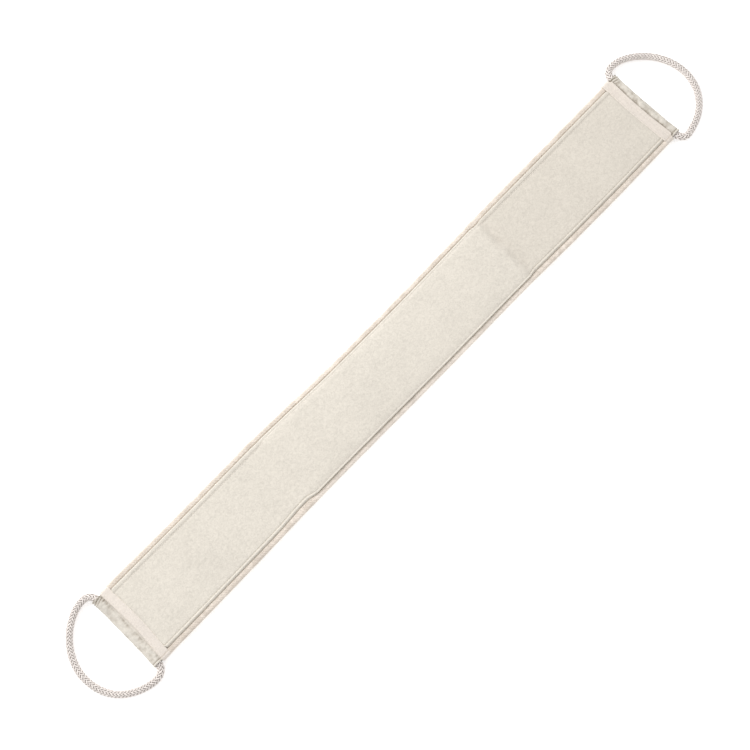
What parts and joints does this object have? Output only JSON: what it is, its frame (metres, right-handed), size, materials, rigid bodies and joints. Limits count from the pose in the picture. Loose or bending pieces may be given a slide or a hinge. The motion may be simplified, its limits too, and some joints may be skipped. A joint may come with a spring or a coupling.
{
  "type": "back scrubber strap",
  "caption": "Flat padded washing strap with bound edges, a cloth face over pressed loofah, and a braided rope loop hinged in the hem at each end.",
  "frame": {"origin": "centre of the bounding box, on the surface that the strap lies on", "axes": "+X along the strap towards the upper end, +Y across it to the left edge, +Z out of the cloth face"},
  "size_m": [0.8, 0.106, 0.0104],
  "materials": {
    "face_cloth": "soft brushed cotton with a fine nubby grain, matt",
    "wadding": "white polyester wadding, matt",
    "lining_cloth": "thin plain-woven cotton, matt",
    "loofah": "pressed natural loofah fibre, coarse and matt",
    "binding_tape": "cream and peach cotton binding tape, matt",
    "thread": "cotton sewing thread, matt",
    "end_tape": "smooth cream cotton tape, matt",
    "hem_cloth": "textured grey-cream cotton, matt",
    "cotton_rope": "braided cotton rope, matt",
    "whipping": "wound cotton thread, matt"
  },
  "bodies": {
    "middle_section": {"face_cloth_middle": "face_cloth", "wadding_middle": "wadding", "lining_middle": "lining_cloth", "loofah_sheet_middle": "loofah", "binding_left_middle": "binding_tape", "binding_right_middle": "binding_tape", "binding_stitches_middle": "thread", "panel_stitches_middle": "thread"},
    "lower_section": {"face_cloth_lower": "face_cloth", "wadding_lower": "wadding", "lining_lower": "lining_cloth", "loofah_sheet_lower": "loofah", "binding_left_lower": "binding_tape", "binding_right_lower": "binding_tape", "binding_stitches_lower": "thread", "panel_stitches_lower": "thread", "end_band_lower": "end_tape", "rope_tunnel_lower": "hem_cloth", "hem_stitches_lower": "thread"},
    "upper_section": {"face_cloth_upper": "face_cloth", "wadding_upper": "wadding", "lining_upper": "lining_cloth", "loofah_sheet_upper": "loofah", "binding_left_upper": "binding_tape", "binding_right_upper": "binding_tape", "binding_stitches_upper": "thread", "panel_stitches_upper": "thread", "end_band_upper": "end_tape", "rope_tunnel_upper": "hem_cloth", "hem_stitches_upper": "thread"},
    "lower_handle": {"rope_handle_lower": "cotton_rope", "splice_sleeve_lower": "whipping"},
    "upper_handle": {"rope_handle_upper": "cotton_rope", "splice_sleeve_upper": "whipping"}
  },
  "joints": [
    {"name": "lower_fold", "type": "hinge", "parent": "middle_section", "child": "lower_section", "pos_m": [-0.1375, 0, 0.00425], "axis": [0, 1, 0], "range_deg": [-110, 110]},
    {"name": "upper_fold", "type": "hinge", "parent": "middle_section", "child": "upper_section", "pos_m": [0.1505, 0, 0.00425], "axis": [0, -1, 0], "range_deg": [-110, 110]},
    {"name": "lower_loop_swing", "type": "hinge", "parent": "lower_section", "child": "lower_handle", "pos_m": [-0.34067, 0, 0.0046], "axis": [0, 1, 0], "range_deg": [-165, 165]},
    {"name": "upper_loop_swing", "type": "hinge", "parent": "upper_section", "child": "upper_handle", "pos_m": [0.34299, 0, 0.0046], "axis": [0, -1, 0], "range_deg": [-165, 165]}
  ]
}
